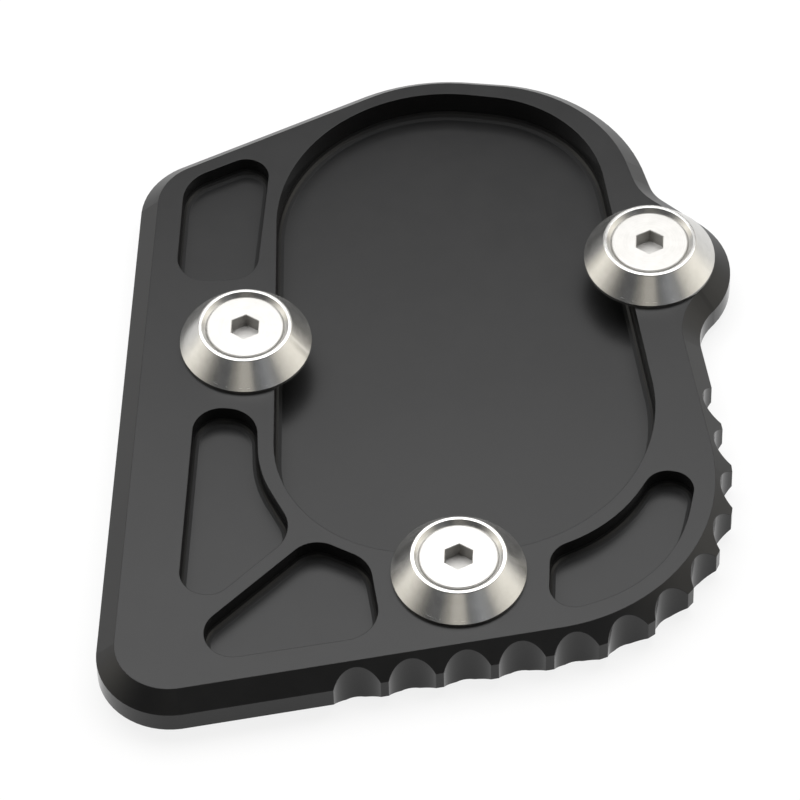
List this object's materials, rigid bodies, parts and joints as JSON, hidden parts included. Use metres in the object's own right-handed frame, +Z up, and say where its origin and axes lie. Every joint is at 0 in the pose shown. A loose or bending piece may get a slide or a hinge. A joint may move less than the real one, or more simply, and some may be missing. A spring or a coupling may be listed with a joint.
{
  "type": "motorcycle kickstand foot enlarger",
  "caption": "Milled plate that takes a side stand's foot in a deep pocket, clamps it under cone washers on countersunk screws, and spreads its load on soft ground.",
  "frame": {"origin": "middle of the underside", "axes": "+Z up out of the pocket, +Y along the straight left edge away from the front, +X towards the fluted right edge"},
  "size_m": [0.0922, 0.1244, 0.0122],
  "materials": {
    "black_anodised": "satin black anodised, bead blasted",
    "turned_steel": "turned stainless steel",
    "bright_steel": "bright stainless steel"
  },
  "bodies": {
    "root": {"base_plate": "black_anodised", "washer_left": "turned_steel", "washer_right": "turned_steel", "washer_front": "turned_steel", "screw_left": "bright_steel", "screw_right": "bright_steel", "screw_front": "bright_steel"}
  },
  "joints": []
}
